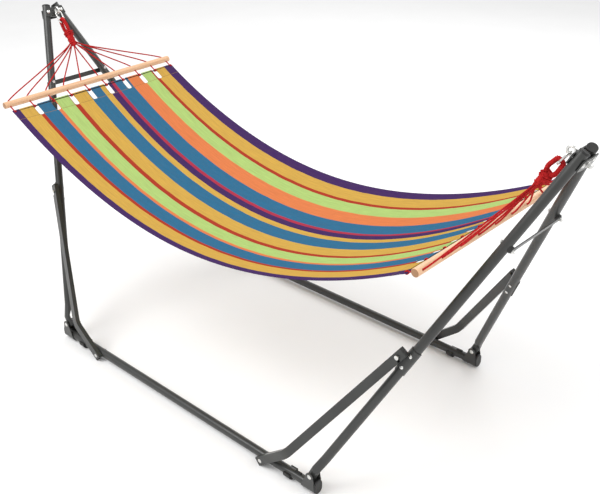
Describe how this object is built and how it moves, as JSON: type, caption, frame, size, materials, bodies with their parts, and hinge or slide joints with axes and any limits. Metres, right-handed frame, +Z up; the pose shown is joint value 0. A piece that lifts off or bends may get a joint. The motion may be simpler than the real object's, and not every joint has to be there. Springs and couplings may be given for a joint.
{
  "type": "hammock on stand",
  "caption": "Striped woven hammock with wooden spreader bars, hung from snap hooks between the A-shaped end frames of a folding steel tube stand.",
  "frame": {"origin": "on the floor, under the middle of the hammock", "axes": "+X along the hammock from the left end to the right end, +Y across it from the near side to the far side, +Z up"},
  "size_m": [2.4136, 0.9702, 1.1664],
  "materials": {
    "frame_steel": "gloss",
    "zinc_hardware": "satin",
    "black_plastic": "matte",
    "bumper_rubber": "matte",
    "bar_wood": "satin",
    "red_rope": "matte",
    "striped_cloth": "matte"
  },
  "bodies": {
    "base": {"near_rail": "frame_steel", "far_rail": "frame_steel", "foot_plugs": "black_plastic", "foot_pads": "black_plastic", "leg_rest_bumpers": "bumper_rubber", "foot_rivets": "zinc_hardware", "brace_pivot_rivets": "zinc_hardware", "hammock_bed": "striped_cloth", "left_near_foot_bracket": "frame_steel", "left_far_foot_bracket": "frame_steel", "right_near_foot_bracket": "frame_steel", "right_far_foot_bracket": "frame_steel"},
    "left_frame": {"left_near_leg": "frame_steel", "left_far_leg": "frame_steel", "left_near_brace_saddle": "frame_steel", "left_far_brace_saddle": "frame_steel", "left_leg_caps": "black_plastic", "left_saddle_rivets": "zinc_hardware", "left_brace_studs": "zinc_hardware", "left_link_spacers": "black_plastic", "left_frame_bolts": "zinc_hardware", "left_spreader_link": "frame_steel", "left_apex_plate_outer": "frame_steel", "left_apex_plate_inner": "frame_steel", "left_eye_bolt": "zinc_hardware", "left_eye_nut": "zinc_hardware", "left_snap_hook": "zinc_hardware", "left_rope_loop": "red_rope", "left_rope_knot": "red_rope", "left_wooden_bar": "bar_wood", "left_fan_ropes": "red_rope"},
    "right_frame": {"right_near_leg": "frame_steel", "right_far_leg": "frame_steel", "right_near_brace_saddle": "frame_steel", "right_far_brace_saddle": "frame_steel", "right_leg_caps": "black_plastic", "right_saddle_rivets": "zinc_hardware", "right_brace_studs": "zinc_hardware", "right_link_spacers": "black_plastic", "right_frame_bolts": "zinc_hardware", "right_spreader_link": "frame_steel", "right_apex_plate_outer": "frame_steel", "right_apex_plate_inner": "frame_steel", "right_eye_bolt": "zinc_hardware", "right_eye_nut": "zinc_hardware", "right_snap_hook": "zinc_hardware", "right_rope_loop": "red_rope", "right_rope_knot": "red_rope", "right_wooden_bar": "bar_wood", "right_fan_ropes": "red_rope"},
    "left_near_brace": {"left_near_brace": "frame_steel", "left_near_brace_caps": "black_plastic"},
    "left_far_brace": {"left_far_brace": "frame_steel", "left_far_brace_caps": "black_plastic"},
    "left_gate": {"left_snap_hook_gate": "zinc_hardware"},
    "right_near_brace": {"right_near_brace": "frame_steel", "right_near_brace_caps": "black_plastic"},
    "right_far_brace": {"right_far_brace": "frame_steel", "right_far_brace_caps": "black_plastic"},
    "right_gate": {"right_snap_hook_gate": "zinc_hardware"}
  },
  "joints": [
    {"name": "left_frame_fold", "type": "hinge", "parent": "base", "child": "left_frame", "pos_m": [-0.65, 0, 0.068], "axis": [0, 1, 0], "range_deg": [0, 106], "deforming": ["hammock_bed"]},
    {"name": "left_near_brace_fold", "type": "hinge", "parent": "base", "child": "left_near_brace", "pos_m": [-0.445, -0.4738, 0.022], "axis": [0, 1, 0], "range_deg": [0, 121.92]},
    {"name": "left_far_brace_fold", "type": "hinge", "parent": "base", "child": "left_far_brace", "pos_m": [-0.445, 0.4738, 0.022], "axis": [0, 1, 0], "range_deg": [0, 121.92]},
    {"name": "left_hook_gate_swing", "type": "hinge", "parent": "left_frame", "child": "left_gate", "pos_m": [-1.12157, -0.012, 1.11209], "axis": [-0.8136, 0, -0.5814], "range_deg": [0, 20], "stiffness_Nm_per_rad": 0.02},
    {"name": "right_frame_fold", "type": "hinge", "parent": "base", "child": "right_frame", "pos_m": [0.65, 0, 0.068], "axis": [0, -1, 0], "range_deg": [0, 98], "deforming": ["hammock_bed"]},
    {"name": "right_near_brace_fold", "type": "hinge", "parent": "base", "child": "right_near_brace", "pos_m": [0.445, -0.4738, 0.022], "axis": [0, -1, 0], "range_deg": [0, 112.72]},
    {"name": "right_far_brace_fold", "type": "hinge", "parent": "base", "child": "right_far_brace", "pos_m": [0.445, 0.4738, 0.022], "axis": [0, -1, 0], "range_deg": [0, 112.72]},
    {"name": "right_hook_gate_swing", "type": "hinge", "parent": "right_frame", "child": "right_gate", "pos_m": [1.12157, -0.012, 1.11209], "axis": [-0.8136, 0, 0.5814], "range_deg": [0, 20], "stiffness_Nm_per_rad": 0.02}
  ],
  "couplings": [
    {"joint": "left_near_brace_fold", "follows": "left_frame_fold", "ratio": 1.15},
    {"joint": "left_far_brace_fold", "follows": "left_frame_fold", "ratio": 1.15},
    {"joint": "right_near_brace_fold", "follows": "right_frame_fold", "ratio": 1.15},
    {"joint": "right_far_brace_fold", "follows": "right_frame_fold", "ratio": 1.15}
  ]
}
